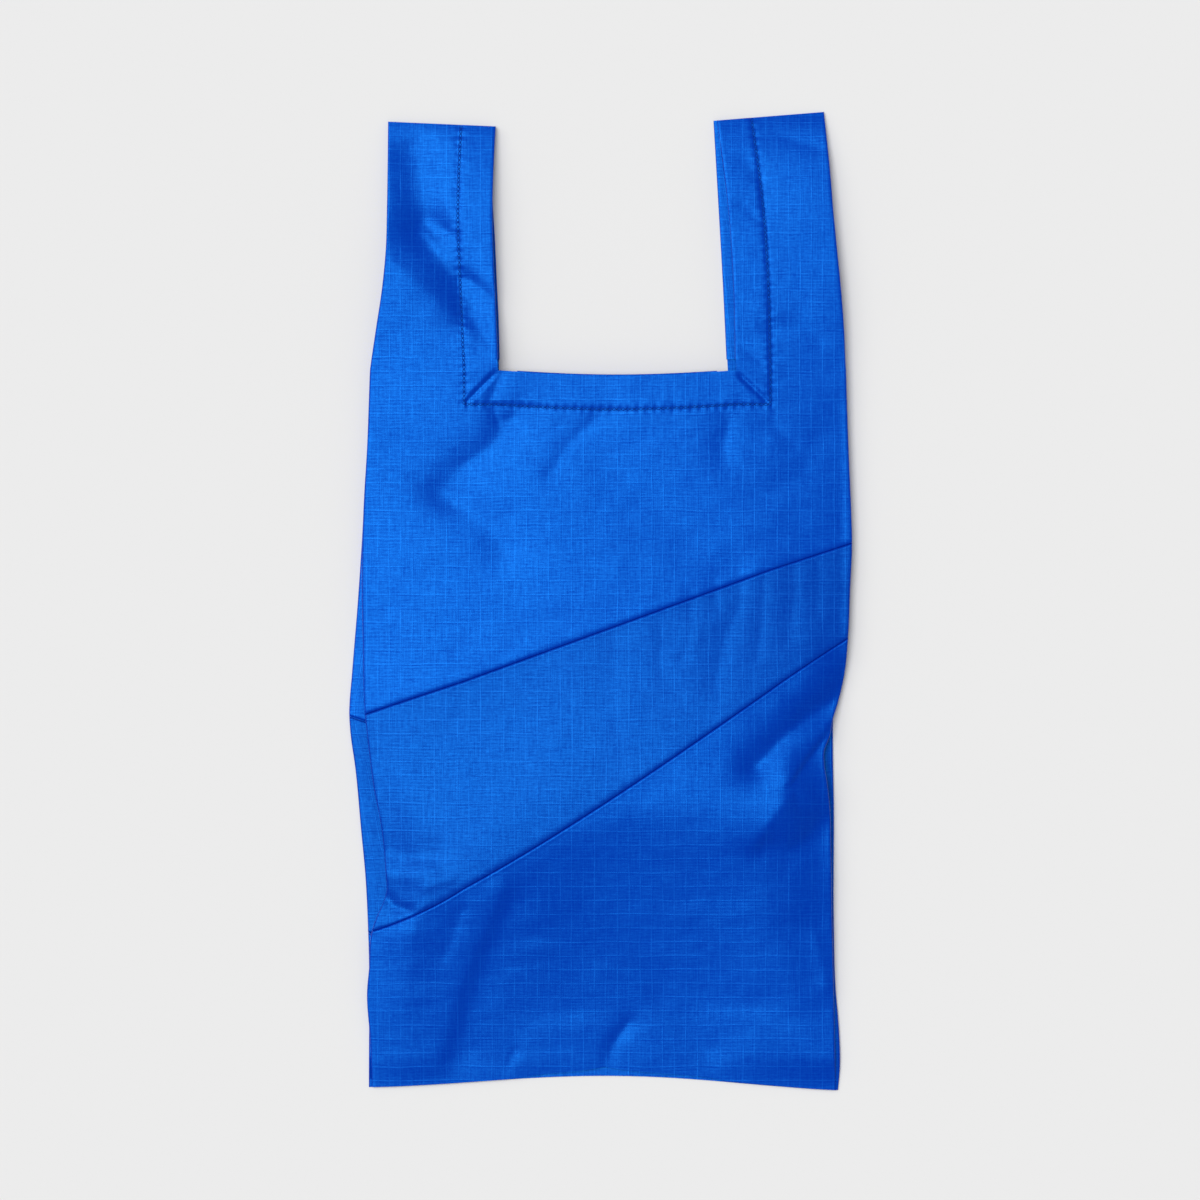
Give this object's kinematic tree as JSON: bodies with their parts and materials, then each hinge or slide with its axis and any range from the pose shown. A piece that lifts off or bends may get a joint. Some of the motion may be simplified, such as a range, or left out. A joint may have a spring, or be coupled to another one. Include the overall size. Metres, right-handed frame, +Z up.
{
  "type": "ripstop nylon carrier bag",
  "caption": "Soft vest-shaped carrier bag of sewn ripstop nylon, laid flat, with an open mouth between loop handles, folded side gussets and diagonal panel seams.",
  "frame": {"origin": "middle of the bag's outline, on the surface that it lies on", "axes": "+Y from the bottom seam to the handle tops, +X to the right seen from above, +Z up out of the front"},
  "size_m": [0.2822, 0.5495, 0.0153],
  "materials": {
    "upper_nylon": "bright blue ripstop nylon, faint sheen, fine square grid of reinforcing threads",
    "band_nylon": "bright blue ripstop nylon, faint sheen, fine square grid of reinforcing threads",
    "lower_nylon": "bright blue ripstop nylon cut on another grain, which looks a little darker",
    "thread": "dark blue sewing thread"
  },
  "bodies": {
    "root": {"front_lower_panel": "lower_nylon", "front_band_panel": "band_nylon", "front_upper_panel": "upper_nylon", "back_lower_panel": "lower_nylon", "back_band_panel": "band_nylon", "back_upper_panel": "upper_nylon", "mouth_stitching": "thread"}
  },
  "joints": []
}
